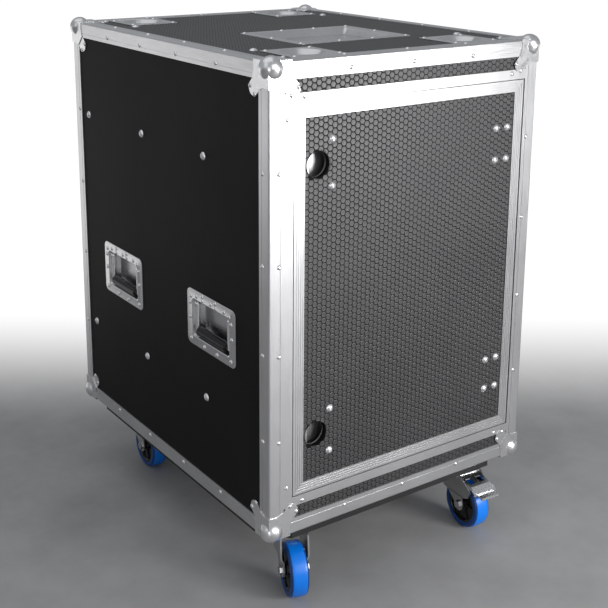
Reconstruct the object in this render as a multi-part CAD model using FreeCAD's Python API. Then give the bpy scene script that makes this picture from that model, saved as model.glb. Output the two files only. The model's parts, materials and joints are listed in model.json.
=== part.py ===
import FreeCAD, Part
import math
import os

# A road case for 19-inch rack gear: plywood panels in aluminium edge angles, ball corners,
# a hinged door at each end, four recessed handles, four stacking dishes and four castors.
# Millimetres. Origin on the floor under the middle of the case, front door facing -Y, +Z up.

# Driving sizes of the case body, over its edge angles
CASE_WIDTH = 600.0
CASE_DEPTH = 750.0
CASE_HEIGHT = 840.0
# Running gear
BOARD_THICKNESS = 22.0
CASTOR_HEIGHT = 126.0
# Panels and edge angles
PANEL = 7.0
FLANGE = 30.0
SHEET = 1.8
EDGE_RADIUS = 3.0
GROOVE_PLACE = 21.5
GROOVE_WIDTH = 1.2
GROOVE_DEPTH = 0.6
EDGE_END = 31.0
# Ball corners
BALL_RADIUS = 20.5
BALL_INSET = 11.5
CORNER_PLATE = 1.5
CORNER_REACH = 43.5
CORNER_WAIST = 0.55
CORNER_RIDGE = (0.6, 1.2)
CORNER_RIVETS = (43.0, 56.0)
LEG_HALF_WIDTH = 13.5
LEG_STEP = 53.0
LEG_END = 78.0
NOTCH = 20.0
# Rivets
RIVET_RADIUS = 4.4
RIVET_RISE = 2.4
RIVET_SHANK = 1.6
RIVET_LENGTH = 8.0
RIVET_INSET = 20.0
UPRIGHT_RIVET_PITCH = 158.0
DEPTH_RIVET_PITCH = 140.0
CROSS_RIVET_PITCH = 136.0
# Bolts
BOLT_RADIUS = 7.6
BOLT_RISE = 4.2
BOLT_SHANK = 3.0
BOLT_SOCKET = 2.6
BOLT_SOCKET_DEPTH = 2.0
# Door opening and its metal strips
JAMB_FLANGE = 18.0
JAMB_DEPTH = 13.0
HEADER_DROP = 72.0
SILL_RISE = 71.0
LATCH_STILE = 48.0
HINGE_STILE = 30.0
STILE_BOARD = 16.0
JAMB_RIVET_SIDE = 69.5
JAMB_RIVET_HEIGHT = 22.0
# Doors
DOOR_GAP = 1.5
HINGE_GAP = 3.0
DOOR_THICKNESS = 13.0
FRAME_WIDTH = 21.5
FRAME_SHEET = 2.0
FRAME_BACK = 12.0
FLUTE_WIDTH = 1.0
FLUTE_DEPTH = 0.5
FLUTES = (4.5, 9.0, 13.5, 18.0)
DOOR_PANEL_FIT = 0.3
# Hinges
HINGE_HEIGHTS = (191.4, CASE_HEIGHT - 190.0)
PIVOT_INSET = 55.0
PIVOT_BEHIND = 6.5
PIN_RADIUS = 3.0
RUNNING_FIT = 0.08
KNUCKLE_RADIUS = 5.8
KNUCKLE_HALF = 14.5
LEAF_HALF = 42.0
LEAF_WIDTH = 56.0
LEAF_SHEET = 2.5
HINGE_BOLT_PLACES = (12.5, 40.5)
HINGE_BOLT_HALF = 30.0
CRANK_REACH = 31.5
CRANK_SHEET = 4.0
CRANK_HALF = 3.0
FOOT_LENGTH = 30.0
# Door slides on the side walls
SLIDE_THICKNESS = 14.0
SLIDE_HEIGHT = 34.0
SLIDE_LIP = 5.0
SLIDE_BOLTS = (61.0, 300.0, CASE_DEPTH - 214.0)
SLIDE_END = 22.0
SLIDE_START = 30.0
# Latches
LATCH_HEIGHTS = (178.4, CASE_HEIGHT - 177.0)
LATCH_SIDE = 98.5
FINGER_RADIUS = 23.0
LATCH_BOLT_SIDE = 129.0
LATCH_BOLT_HALF = 40.2
LATCH_CASE_DEPTH = 16.0
LATCH_CASE_HALF = 49.0
LATCH_CASE_START = 56.0
LATCH_CASE_END = 142.0
LATCH_SHEET = 1.5
LATCH_TRAVEL = 10.0
BAR_THICKNESS = 8.0
BAR_HALF = 12.0
BAR_FIT = 0.4
PLATE_HALF = 21.0
PLATE_SHEET = 2.5
PLATE_BEND = 2.3
PLATE_SETBACK = 7.0
LIP_BEND = 4.0
# Rack rails
RACK_UNIT = 44.45
RACK_ENDS = 150.0
RACK_UNITS = int((CASE_HEIGHT - RACK_ENDS) / RACK_UNIT)
RACK_HOLE_SPACING = 465.1
RACK_HOLE_RADIUS = 3.3
RACK_HOLE_STEP = 15.875
RAIL_FACE = 16.0
RAIL_INNER_GAP = 450.0
RAIL_SHEET = 2.0
RAIL_DEPTH = 40.0
RAIL_BOLTS = (150.0, CASE_DEPTH - 158.0)
# Handles, from the middle of the plate
HANDLE_HEIGHT = 337.0
HANDLE_PLACES = (193.0, CASE_DEPTH - 202.5)
HANDLE_PLATE = (170.0, 108.5)
HANDLE_MOUTH = (127.0, 71.0)
HANDLE_RECESS = 24.0
HANDLE_SLOPES = (9.0, 1.0, 10.0)
HANDLE_SHEET = 1.5
HANDLE_CORNER = 12.0
BAIL_ROD = 4.0
BAIL_HALF = 55.0
BAIL_DROP = 52.2
BAIL_PIVOT_UP = 26.8
BAIL_PIVOT_IN = 5.0
BEARING_SHEET = 3.0
LUG_HALF = 7.0
GRIP_RADIUS = 9.5
GRIP_HALF = 50.0
GRIP_EDGE = 2.0
HANDLE_RIVETS = ((-71, -43.5), (-23, -47), (22, -47), (70, -43.5), (-74, -1.5), (73, -1.5),
                 (-74, 26.5), (71, 26.5), (-72, 39), (-51, 43), (-29.5, 49), (-29.5, 40), (0, 43),
                 (16.5, 49), (16.5, 40), (47, 43), (64, 39))
# Label dish in the top
LABEL_CENTRE = (309.0, 275.0)
LABEL_PLATE = (262.0, 208.0)
LABEL_MOUTH = (222.0, 166.0)
LABEL_RECESS = 14.0
LABEL_TAPER = 12.0
LABEL_RIVETS = ((-122, -95), (-36, -95), (41, -95), (121, -95), (-122, 0), (121, 0),
                (-122, 95), (-36, 95), (41, 95), (121, 95))
# Stacking dishes in the top
STACK_PLACES = (123.0, 84.0)
STACK_PLATE = (108.0, 105.0)
STACK_RIVETS = (46.0, 44.0)
STACK_BOWL = 39.0
STACK_FLOOR = 31.0
STACK_RECESS = 13.0
DISH_SHEET = 1.2
DISH_FIT = 0.3
# Castor board and castors
BOARD_INSET = 17.0
BOARD_CHAMFER = 43.0
CASTOR_INSET_SIDE = 92.5
CASTOR_INSET_END = 81.0
CASTOR_YAW = {"front_left": -19.0, "front_right": -4.0, "rear_left": -3.0, "rear_right": -8.0}
BRAKED = ("front_right", "rear_right")
WHEEL_RADIUS = 50.0
WHEEL_WIDTH = 34.0
TYRE_DEPTH = 11.0
TYRE_EDGE = 4.0
CORE_SETBACK = 1.0
CORE_DISH = 5.0
CORE_RIM = 5.0
CORE_HUB_WALL = 3.0
TRAIL = 48.0
AXLE_RADIUS = 5.0
HUB_RADIUS = 11.0
NUT_RADIUS = 8.5
NUT_HEIGHT = 5.0
FORK_GAP = 3.0
FORK_FLARE = 4.5
FLARE_HEIGHTS = (68.0, 76.0)
FORK_SHEET = 3.0
FORK_BOSS = 13.0
CROWN_LOW = 105.0
CROWN_SHEET = 4.0
CROWN_BACK = 30.0
EAR_WIDTH = 4.0
EAR_RISE = 7.5
KINGPIN_RADIUS = 8.0
KINGPIN_HEAD = 12.0
KINGPIN_HEAD_DEPTH = 4.0
RACE_RADIUS = 31.0
RACE_GAP = 0.5
TOP_PLATE = (104.0, 84.0)
TOP_PLATE_SHEET = 3.2
PLATE_BOLTS = (40.0, 30.0)
PLATE_BOLT_LENGTH = 15.0
PEDAL_PIVOT = (45.0, 111.0)
PEDAL_PIN = 3.0
PEDAL_REACH = 117.0
PEDAL_SHEET = 2.5
PEDAL_HEEL = (39.0, 112.0)
PEDAL_SHOULDER = (86.0, 105.0)
PEDAL_CLEARANCE = 4.0
PEDAL_WALL = (2.0, 7.0)
PEDAL_SLOT = (6.0, 18.0)
PEDAL_SLOT_REACH = (60.0, 78.0)
TREAD_END = (101.0, 97.0)
TREAD_HALF = 27.0
TREAD_LIP = 5.0
SHELF_HALF = 21.0
SHELF_LEVEL = 94.5
SHELF_LIP = 5.0
SKIRT_REACH = 88.0
SKIRT_OUTLINE = ((-58.0, 70.0), (8.0 - SKIRT_REACH, 78.0), (-SKIRT_REACH, 94.0))

CASE_BOTTOM = BOARD_THICKNESS + CASTOR_HEIGHT
HALF_WIDTH = CASE_WIDTH / 2
HALF_DEPTH = CASE_DEPTH / 2
SKIN = SHEET + PANEL
SURFACE = SHEET
PIVOT_DEPTH = DOOR_THICKNESS + PIVOT_BEHIND
FORK_HALF = WHEEL_WIDTH / 2 + FORK_GAP + FORK_FLARE + FORK_SHEET


def forward_reach():
    """How far the foremost piece, a wheel or a brake pedal, is ahead of the case's middle."""
    reaches = []
    for name in ("front_left", "front_right"):
        yaw = math.radians(CASTOR_YAW[name])
        reaches.append((TRAIL + WHEEL_RADIUS) * math.cos(yaw) + WHEEL_WIDTH / 2 * abs(math.sin(yaw)))
        if name in BRAKED:
            reaches.append(PEDAL_REACH * math.cos(yaw) + SHELF_HALF * abs(math.sin(yaw)))
    return HALF_DEPTH - CASTOR_INSET_END + max(reaches)


# The origin is midway between the foremost castor piece and the rear ball corners
MIDDLE_BACK = (forward_reach() - HALF_DEPTH - BALL_RADIUS + BALL_INSET) / 2

X = FreeCAD.Vector(1, 0, 0)
Y = FreeCAD.Vector(0, 1, 0)
Z = FreeCAD.Vector(0, 0, 1)
ORIGIN = FreeCAD.Vector(0, 0, 0)
CASE_MIDDLE = FreeCAD.Vector(0, MIDDLE_BACK, CASE_BOTTOM + CASE_HEIGHT / 2)


def at(side, back, up):
    """A point given from the case's left side, front face and underside."""
    return FreeCAD.Vector(side - HALF_WIDTH, back - HALF_DEPTH + MIDDLE_BACK, up + CASE_BOTTOM)


def block(side, back, up):
    """A box between two values on each axis, from the case's left, front and underside."""
    size = (side[1] - side[0], back[1] - back[0], up[1] - up[0])
    return Part.makeBox(size[0], size[1], size[2], at(side[0], back[0], up[0]))


def slab(low, high):
    """A box between two corners in the part's own frame."""
    size = FreeCAD.Vector(*high) - FreeCAD.Vector(*low)
    return Part.makeBox(size.x, size.y, size.z, FreeCAD.Vector(*low))


def rod(start, end, radius):
    start, end = FreeCAD.Vector(*start), FreeCAD.Vector(*end)
    return Part.makeCylinder(radius, (end - start).Length, start, end - start)


def prism(points, direction):
    """A straight-sided solid on a closed outline."""
    wire = Part.makePolygon([FreeCAD.Vector(*p) for p in points] + [FreeCAD.Vector(*points[0])])
    return Part.Face(wire).extrude(direction)


def joined(shapes):
    """One solid from pieces that meet or overlap."""
    return shapes[0].multiFuse(list(shapes[1:])).removeSplitter()


def mirrored(shape, normal):
    return shape.mirror(CASE_MIDDLE, normal)


def turned(shape, angle, axis=Z, centre=ORIGIN):
    copy = shape.copy()
    copy.rotate(centre, axis, angle)
    return copy


def moved(shape, offset):
    copy = shape.copy()
    copy.translate(FreeCAD.Vector(*offset))
    return copy


def with_mirrors(shapes, normals):
    """The shapes and their mirror images in each of the case's middle planes named."""
    result = list(shapes)
    for normal in normals:
        result += [mirrored(shape, normal) for shape in result]
    return result


def with_rear(shapes):
    """The shapes and the same again at the other end of the case."""
    return list(shapes) + [turned(shape, 180, Z, CASE_MIDDLE) for shape in shapes]


def save(name, shapes):
    shapes = [solid for shape in shapes for solid in shape.Solids]
    for solid in shapes:
        if solid.Volume < 0:
            solid.reverse()
    Part.makeCompound(shapes).exportStep("parts/%s.step" % name)


def dome(radius, rise):
    """A domed head standing on the XY plane."""
    ball = (radius ** 2 + rise ** 2) / (2 * rise)
    cap = Part.makeSphere(ball, FreeCAD.Vector(0, 0, rise - ball))
    return cap.common(Part.makeCylinder(radius + 1, rise + 1))


def rivet(length=RIVET_LENGTH):
    return dome(RIVET_RADIUS, RIVET_RISE).fuse(rod((0, 0, -length), (0, 0, 0.2), RIVET_SHANK))


def bolt(length):
    head = dome(BOLT_RADIUS, BOLT_RISE)
    head = head.fuse(rod((0, 0, -length), (0, 0, 0.2), BOLT_SHANK))
    hexagon = [(BOLT_SOCKET * math.cos(math.radians(60 * i)), BOLT_SOCKET * math.sin(math.radians(60 * i)),
                BOLT_RISE - BOLT_SOCKET_DEPTH) for i in range(6)]
    return head.cut(prism(hexagon, Z * BOLT_RISE))


def facing(shape, place, outward):
    """A fastener made on the XY plane, set at a place with its head facing outward."""
    copy = shape.copy()
    copy.Placement = FreeCAD.Placement(place, FreeCAD.Rotation(Z, outward))
    return copy


# --- Edge angles -----------------------------------------------------------------------------

def edge_outline(along_u, along_v, corner):
    """The section of an edge angle: two flanges, a rounded corner and a groove in each."""
    def point(u, v):
        return corner + along_u * u + along_v * v
    groove_end = GROOVE_PLACE + GROOVE_WIDTH
    far = [(GROOVE_PLACE, 0), (GROOVE_PLACE, GROOVE_DEPTH), (groove_end, GROOVE_DEPTH), (groove_end, 0),
           (FLANGE, 0), (FLANGE, SHEET), (SHEET, SHEET)]
    points = [(EDGE_RADIUS, 0)] + far + [(v, u) for u, v in reversed(far[:-1])] + [(0, EDGE_RADIUS)]
    places = [point(u, v) for u, v in points]
    edges = [Part.makeLine(a, b) for a, b in zip(places, places[1:])]
    middle = EDGE_RADIUS * (1 - math.sqrt(0.5))
    edges.append(Part.Arc(places[-1], point(middle, middle), places[0]).toShape())
    return Part.Face(Part.Wire(edges))


def edge_angle(along, length, along_u, along_v):
    start = at(0, 0, 0) + along * EDGE_END
    return edge_outline(along_u, along_v, start).extrude(along * (length - 2 * EDGE_END))


def edge_angles():
    save("edge_angles_upright", with_mirrors([edge_angle(Z, CASE_HEIGHT, X, Y)], [X, Y]))
    save("edge_angles_cross", with_mirrors([edge_angle(X, CASE_WIDTH, Y, Z)], [Y, Z]))
    save("edge_angles_depth", with_mirrors([edge_angle(Y, CASE_DEPTH, Z, X)], [X, Z]))


# --- Ball corners ----------------------------------------------------------------------------

def leaf(plate_low, plate_high, first, last):
    """One plate of a ball corner on the plane w = 0, between two distances along its diagonal."""
    root = math.sqrt(0.5)
    side = (root * (LEG_STEP - LEG_HALF_WIDTH), root * (LEG_STEP + LEG_HALF_WIDTH))
    waist = (side[0] * CORNER_WAIST, CORNER_REACH - 1)
    edge = -CORNER_PLATE
    points = [(edge, BALL_INSET), (edge, CORNER_REACH), waist, side, side[::-1], waist[::-1],
              (CORNER_REACH, edge), (BALL_INSET, edge), (BALL_INSET, BALL_INSET)]
    rise = Z * (plate_high - plate_low)
    base = prism([(u, v, plate_low) for u, v in points], rise)
    centre = root * (LEG_END - LEG_HALF_WIDTH)
    tip = rod((centre, centre, plate_low), (centre, centre, plate_high), LEG_HALF_WIDTH)
    reach = (LEG_STEP - LEG_HALF_WIDTH, LEG_END - LEG_HALF_WIDTH)
    corners = [(reach[0], -LEG_HALF_WIDTH), (reach[1], -LEG_HALF_WIDTH), (reach[1], LEG_HALF_WIDTH),
               (reach[0], LEG_HALF_WIDTH)]
    bar = prism([(root * (d - s), root * (d + s), plate_low) for d, s in corners], rise)
    whole = joined([base, bar, tip])
    window = [(first, -LEG_END), (last, -LEG_END), (last, LEG_END), (first, LEG_END)]
    height = plate_high - plate_low
    band = prism([(root * (d - s), root * (d + s), plate_low - 1) for d, s in window], Z * (height + 2))
    return whole.common(band)


def corner_plate(stepped):
    """A whole plate: flat on the flanges, then down a step on to the panel where it is stepped."""
    if not stepped:
        rise, width = CORNER_RIDGE
        ridge = leaf(-CORNER_PLATE - rise, -CORNER_PLATE, LEG_STEP - width, LEG_STEP)
        return joined([leaf(-CORNER_PLATE, 0, 0, LEG_END + 1), ridge])
    upper = leaf(-CORNER_PLATE, 0, 0, LEG_STEP)
    wall = leaf(-CORNER_PLATE, SURFACE, LEG_STEP - CORNER_PLATE, LEG_STEP)
    lower = leaf(SURFACE - CORNER_PLATE, SURFACE, LEG_STEP - CORNER_PLATE, LEG_END + 1)
    clear = FLANGE + DISH_FIT
    flanges = [slab((0, 0, 0), (clear, LEG_END, SURFACE)), slab((0, 0, 0), (LEG_END, clear, SURFACE))]
    return joined([upper, joined([wall, lower]).cut(Part.makeCompound(flanges))])


def ball_corner():
    """The corner at the origin of three planes, with the case in the positive octant."""
    ball = Part.makeSphere(BALL_RADIUS, FreeCAD.Vector(BALL_INSET, BALL_INSET, BALL_INSET))
    size = 3 * BALL_RADIUS
    ball = ball.cut(slab((0, 0, 0), (size, size, size)))
    diagonal = X + Y + Z
    side = turned(corner_plate(True), 120, diagonal)
    front = turned(corner_plate(False), 240, diagonal)
    return joined([ball, corner_plate(True), side, front])


def ball_corners():
    corner = moved(ball_corner(), at(0, 0, 0))
    save("ball_corners", with_mirrors([corner], [X, Y, Z]))


# --- Panels ----------------------------------------------------------------------------------

def corner_notches():
    """Cubes cut from the panels where the ball corners sit."""
    return with_mirrors([block((0, NOTCH), (0, NOTCH), (0, NOTCH))], [X, Y, Z])


def notched(shape):
    return shape.cut(Part.makeCompound(corner_notches()))


def stack_centres():
    side, end = STACK_PLACES
    return [(x, y) for x in (side, CASE_WIDTH - side) for y in (end, CASE_DEPTH - end)]


def tray(plate, mouth, floor_size, recess, sheet, corner, floor_shift=0.0):
    """A flat plate on z = 0 with a tapered recess below it, and the cutter that makes its hole."""
    def box_loft(size, deep_size, depth, top):
        loops = []
        for (width, height), level, shift in ((size, top, 0), (deep_size, -depth, floor_shift)):
            half = [(-width / 2, shift - height / 2), (width / 2, shift - height / 2),
                    (width / 2, shift + height / 2), (-width / 2, shift + height / 2)]
            points = [FreeCAD.Vector(u, v, level) for u, v in half]
            loops.append(Part.makePolygon(points + points[:1]))
        return Part.makeLoft(loops, True, True)
    outer = slab((-plate[0] / 2, -plate[1] / 2, 0), (plate[0] / 2, plate[1] / 2, sheet))
    uprights = [edge for edge in outer.Edges if abs(edge.tangentAt(edge.FirstParameter).z) > 0.9]
    outer = outer.makeFillet(corner, uprights)
    grown = (mouth[0] + 2 * sheet, mouth[1] + 2 * sheet)
    deep = (floor_size[0] + 2 * sheet, floor_size[1] + 2 * sheet)
    body = outer.fuse(box_loft(grown, deep, recess, 0))
    hollow = box_loft(mouth, floor_size, recess - sheet, sheet + 0.1)
    reach = (grown[0] / 2 + DISH_FIT, grown[1] / 2 + DISH_FIT)
    cutter = slab((-reach[0], -reach[1], -recess - 1), (reach[0], reach[1], 0))
    return body.cut(hollow).removeSplitter(), cutter


def handle_tray():
    """Its side walls slope alike; the lower wall is nearly square to the floor."""
    side, low, high = HANDLE_SLOPES
    floor_size = (HANDLE_MOUTH[0] - 2 * side, HANDLE_MOUTH[1] - low - high)
    shift = (low - high) / 2
    return tray(HANDLE_PLATE, HANDLE_MOUTH, floor_size, HANDLE_RECESS, HANDLE_SHEET, HANDLE_CORNER, shift)


def label_tray():
    floor_size = (LABEL_MOUTH[0] - 2 * LABEL_TAPER, LABEL_MOUTH[1] - 2 * LABEL_TAPER)
    return tray(LABEL_PLATE, LABEL_MOUTH, floor_size, LABEL_RECESS, DISH_SHEET, HANDLE_CORNER)


def on_left(shape, back):
    """Turns a piece made on the XY plane on to the left panel, its local +Z facing out and +Y up."""
    copy = shape.copy()
    place = FreeCAD.Placement(at(SURFACE, back, HANDLE_HEIGHT), FreeCAD.Rotation(-Y, Z, -X))
    copy.Placement = place.multiply(copy.Placement)
    return copy


def panels():
    inside = (SHEET, CASE_DEPTH - SHEET)
    left = block((SHEET, SKIN), inside, (SHEET, CASE_HEIGHT - SHEET))
    cutter = handle_tray()[1]
    left = notched(left).cut(Part.makeCompound([on_left(cutter, back) for back in HANDLE_PLACES]))
    save("panel_left", [left])
    save("panel_right", [mirrored(left, X)])
    level = block((SKIN, CASE_WIDTH - SKIN), inside, (SHEET, SKIN))
    bottom = notched(level)
    save("panel_bottom", [bottom])
    holes = [moved(label_tray()[1], at(*LABEL_CENTRE, CASE_HEIGHT - SURFACE))]
    for side, back in stack_centres():
        top_of_hole = at(side, back, CASE_HEIGHT)
        under = at(side, back, CASE_HEIGHT - 2 * SKIN)
        holes.append(rod(under, top_of_hole, STACK_BOWL + DISH_SHEET + DISH_FIT))
    save("panel_top", [mirrored(bottom, Z).cut(Part.makeCompound(holes))])


def fascia():
    """The boards round each door opening, behind the metal strips."""
    sides = (SKIN, CASE_WIDTH - SKIN)
    thick = (SHEET, SKIN)
    header_low = CASE_HEIGHT - HEADER_DROP + SHEET
    sill_high = SILL_RISE - SHEET
    header = block(sides, thick, (header_low, CASE_HEIGHT - SKIN))
    sill = block(sides, thick, (SKIN, sill_high))
    between = (SILL_RISE, CASE_HEIGHT - HEADER_DROP)
    latch_stile = block((SKIN, LATCH_STILE - SHEET), thick, between)
    hinge_stile = block((CASE_WIDTH - SKIN - STILE_BOARD, CASE_WIDTH - SKIN), thick, between)
    save("fascia_boards", with_rear([notched(header), notched(sill), latch_stile, hinge_stile]))


def jamb_strips():
    top = CASE_HEIGHT - HEADER_DROP
    sides = (FLANGE, CASE_WIDTH - FLANGE)
    front = (0, SHEET)
    deep = (0, JAMB_DEPTH)
    header = block(sides, front, (top, top + JAMB_FLANGE)).fuse(block(sides, deep, (top, top + SHEET)))
    sill = block(sides, front, (SILL_RISE - JAMB_FLANGE, SILL_RISE))
    sill = sill.fuse(block(sides, deep, (SILL_RISE - SHEET, SILL_RISE)))
    between = (SILL_RISE, top)
    stile = block((LATCH_STILE - JAMB_FLANGE, LATCH_STILE), front, between)
    stile = stile.fuse(block((LATCH_STILE - SHEET, LATCH_STILE), deep, between))
    save("jamb_strips", with_rear([strip.removeSplitter() for strip in (header, sill, stile)]))


# --- Dishes in the top -----------------------------------------------------------------------

def stacking_dish():
    width, depth = STACK_PLATE
    plate = slab((-width / 2, -depth / 2, 0), (width / 2, depth / 2, DISH_SHEET))
    outside = Part.makeCone(STACK_FLOOR + DISH_SHEET, STACK_BOWL + DISH_SHEET, STACK_RECESS,
                            FreeCAD.Vector(0, 0, -STACK_RECESS))
    inside = Part.makeCone(STACK_FLOOR, STACK_BOWL, STACK_RECESS,
                           FreeCAD.Vector(0, 0, DISH_SHEET - STACK_RECESS))
    return plate.fuse(outside).cut(inside).removeSplitter()


def top_dishes():
    level = CASE_HEIGHT - SURFACE
    dishes = [moved(stacking_dish(), at(side, back, level)) for side, back in stack_centres()]
    save("top_dishes", [moved(label_tray()[0], at(*LABEL_CENTRE, level))] + dishes)


# --- Rivets ----------------------------------------------------------------------------------

def pitched(middle, pitch, count):
    return [middle + pitch * (i - (count - 1) / 2) for i in range(count)]


def edge_rivets():
    """Rivets through the edge angles; none under the castor board."""
    ups = pitched(CASE_HEIGHT / 2, UPRIGHT_RIVET_PITCH, 4)
    backs = pitched(CASE_DEPTH / 2, DEPTH_RIVET_PITCH, 4)
    sides = pitched(CASE_WIDTH / 2, CROSS_RIVET_PITCH, 3)
    left = [at(0, RIVET_INSET, up) for up in ups] + [at(0, CASE_DEPTH - RIVET_INSET, up) for up in ups]
    left += [at(0, back, up) for back in backs for up in (RIVET_INSET, CASE_HEIGHT - RIVET_INSET)]
    front = [at(side, 0, up) for side in (RIVET_INSET, CASE_WIDTH - RIVET_INSET) for up in ups]
    front += [at(side, 0, up) for side in sides for up in (RIVET_INSET, CASE_HEIGHT - RIVET_INSET)]
    top = [at(side, back, CASE_HEIGHT) for side in sides for back in (RIVET_INSET, CASE_DEPTH - RIVET_INSET)]
    top += [at(side, back, CASE_HEIGHT) for side in (RIVET_INSET, CASE_WIDTH - RIVET_INSET) for back in backs]
    one = rivet()
    sides_done = with_mirrors([facing(one, place, -X) for place in left], [X])
    ends_done = with_mirrors([facing(one, place, -Y) for place in front], [Y])
    return sides_done + ends_done + [facing(one, place, Z) for place in top]


def corner_rivets():
    """Two rivets in each leg of each ball corner, and none in the legs under the castor board."""
    near, far = CORNER_RIVETS
    seat = SURFACE - CORNER_PLATE
    pairs = ((near, far), (far, near))
    one = rivet()
    left = [facing(one, at(seat, u, v), -X) for u, v in pairs]
    front = [facing(one, at(u, -CORNER_PLATE, v), -Y) for u, v in pairs]
    top = [facing(one, at(u, v, CASE_HEIGHT - seat), Z) for u, v in pairs]
    return with_mirrors(left + front, [X, Y, Z]) + with_mirrors(top, [X, Y])


def jamb_rivets():
    one = rivet()
    top = CASE_HEIGHT - HEADER_DROP
    middle = JAMB_FLANGE * 0.65
    sides = (JAMB_RIVET_SIDE, CASE_WIDTH - HINGE_STILE - JAMB_RIVET_SIDE / 2)
    places = [at(side, 0, up) for side in sides for up in (top + middle, SILL_RISE - middle)]
    stile = LATCH_STILE - middle
    places += [at(stile, 0, SILL_RISE + JAMB_RIVET_HEIGHT), at(stile, 0, top - JAMB_RIVET_HEIGHT - SHEET)]
    return with_rear([facing(one, place, -Y) for place in places])


def handle_rivets():
    one = rivet()
    places = [(u, v, HANDLE_SHEET) for u, v in HANDLE_RIVETS]
    return with_mirrors([on_left(moved(one, place), back) for back in HANDLE_PLACES for place in places], [X])


def dish_rivets():
    one = rivet()
    level = CASE_HEIGHT - SURFACE + DISH_SHEET
    centre_side, centre_back = LABEL_CENTRE
    places = [at(centre_side + u, centre_back + v, level) for u, v in LABEL_RIVETS]
    for side, back in stack_centres():
        places += [at(side + u, back + v, level) for u in (-STACK_RIVETS[0], STACK_RIVETS[0])
                   for v in (-STACK_RIVETS[1], STACK_RIVETS[1])]
    return [facing(one, place, Z) for place in places]


def rivets():
    save("rivets_case", edge_rivets() + jamb_rivets() + corner_rivets())
    save("rivets_dishes", handle_rivets() + dish_rivets())


# --- Doors -----------------------------------------------------------------------------------

DOOR_LEFT = LATCH_STILE + DOOR_GAP
DOOR_RIGHT = CASE_WIDTH - HINGE_STILE - HINGE_GAP
DOOR_LOW = SILL_RISE + DOOR_GAP
DOOR_HIGH = CASE_HEIGHT - HEADER_DROP - DOOR_GAP
PIVOT_SIDE = CASE_WIDTH - PIVOT_INSET


def frame_section():
    """Section of the door's edge extrusion as (inwards from the door's edge, back from its face)."""
    face = []
    for place in FLUTES:
        end = place + FLUTE_WIDTH
        face += [(place, 0), (place, FLUTE_DEPTH), (end, FLUTE_DEPTH), (end, 0)]
    back = DOOR_THICKNESS - FRAME_SHEET
    return [(0, 0)] + face + [(FRAME_WIDTH, 0), (FRAME_WIDTH, FRAME_SHEET), (FRAME_SHEET, FRAME_SHEET),
                              (FRAME_SHEET, back), (FRAME_BACK, back), (FRAME_BACK, DOOR_THICKNESS),
                              (0, DOOR_THICKNESS)]


def frame_member(start, along, inwards, length):
    """One side of the door frame, its ends mitred at 45 degrees."""
    outline = [start + inwards * u + Y * v for u, v in frame_section()]
    bar = prism(outline, along * length)
    keep = [start - inwards * 0.01, start + along * length - inwards * 0.01,
            start + along * (length - length / 2) + inwards * (length / 2)]
    return bar.common(prism([p - Y for p in keep], Y * (DOOR_THICKNESS + 2)))


def door_frame():
    width, height = DOOR_RIGHT - DOOR_LEFT, DOOR_HIGH - DOOR_LOW
    low_left, high_right = at(DOOR_LEFT, 0, DOOR_LOW), at(DOOR_RIGHT, 0, DOOR_HIGH)
    return [frame_member(low_left, X, Z, width), frame_member(low_left, Z, X, height),
            frame_member(high_right, -X, -Z, width), frame_member(high_right, -Z, -X, height)]


def door_panel():
    inset = FRAME_SHEET + DOOR_PANEL_FIT
    panel = block((DOOR_LEFT + inset, DOOR_RIGHT - inset), (FRAME_SHEET, DOOR_THICKNESS - FRAME_SHEET),
                  (DOOR_LOW + inset, DOOR_HIGH - inset))
    holes = [rod(at(LATCH_SIDE, -1, up), at(LATCH_SIDE, DOOR_THICKNESS + 1, up), FINGER_RADIUS)
             for up in LATCH_HEIGHTS]
    return panel.cut(Part.makeCompound(holes))


def pivot_rod(low, high, radius):
    """A cylinder on the door's hinge line, between two heights."""
    return rod(at(PIVOT_SIDE, PIVOT_DEPTH, low), at(PIVOT_SIDE, PIVOT_DEPTH, high), radius)


def hinge_leaf(height):
    """The plate and two knuckles on the back of the door."""
    plate = block((PIVOT_SIDE - LEAF_WIDTH, PIVOT_SIDE), (DOOR_THICKNESS, DOOR_THICKNESS + LEAF_SHEET),
                  (height - LEAF_HALF, height + LEAF_HALF))
    tube = pivot_rod(height - LEAF_HALF, height + LEAF_HALF, KNUCKLE_RADIUS)
    gap = block((PIVOT_SIDE - 2 * KNUCKLE_RADIUS, PIVOT_SIDE + 2 * KNUCKLE_RADIUS),
                (DOOR_THICKNESS - 1, PIVOT_DEPTH + 2 * KNUCKLE_RADIUS),
                (height - KNUCKLE_HALF - 0.5, height + KNUCKLE_HALF + 0.5))
    bore = pivot_rod(0, CASE_HEIGHT, PIN_RADIUS + RUNNING_FIT)
    return joined([plate, tube]).cut(gap).cut(bore)


def hinge_carriage(height):
    """The cranked arm that carries the hinge pin, and its foot on the slide."""
    low, high = height - KNUCKLE_HALF, height + KNUCKLE_HALF
    pin_half = LEAF_HALF + 2
    pin = pivot_rod(height - pin_half, height + pin_half, PIN_RADIUS)
    knuckle = pivot_rod(low, high, KNUCKLE_RADIUS)
    reach = PIVOT_DEPTH + CRANK_REACH
    arm = block((PIVOT_SIDE - CRANK_HALF, PIVOT_SIDE + CRANK_HALF), (PIVOT_DEPTH, reach), (low, high))
    slide_face = CASE_WIDTH - SKIN - SLIDE_THICKNESS
    cross = block((PIVOT_SIDE, slide_face), (reach - CRANK_SHEET, reach), (low, high))
    foot_depth = (reach - CRANK_SHEET, reach + FOOT_LENGTH)
    foot = block((slide_face - CRANK_SHEET, slide_face), foot_depth, (low, high))
    return joined([pin, knuckle, arm, cross, foot])


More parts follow.
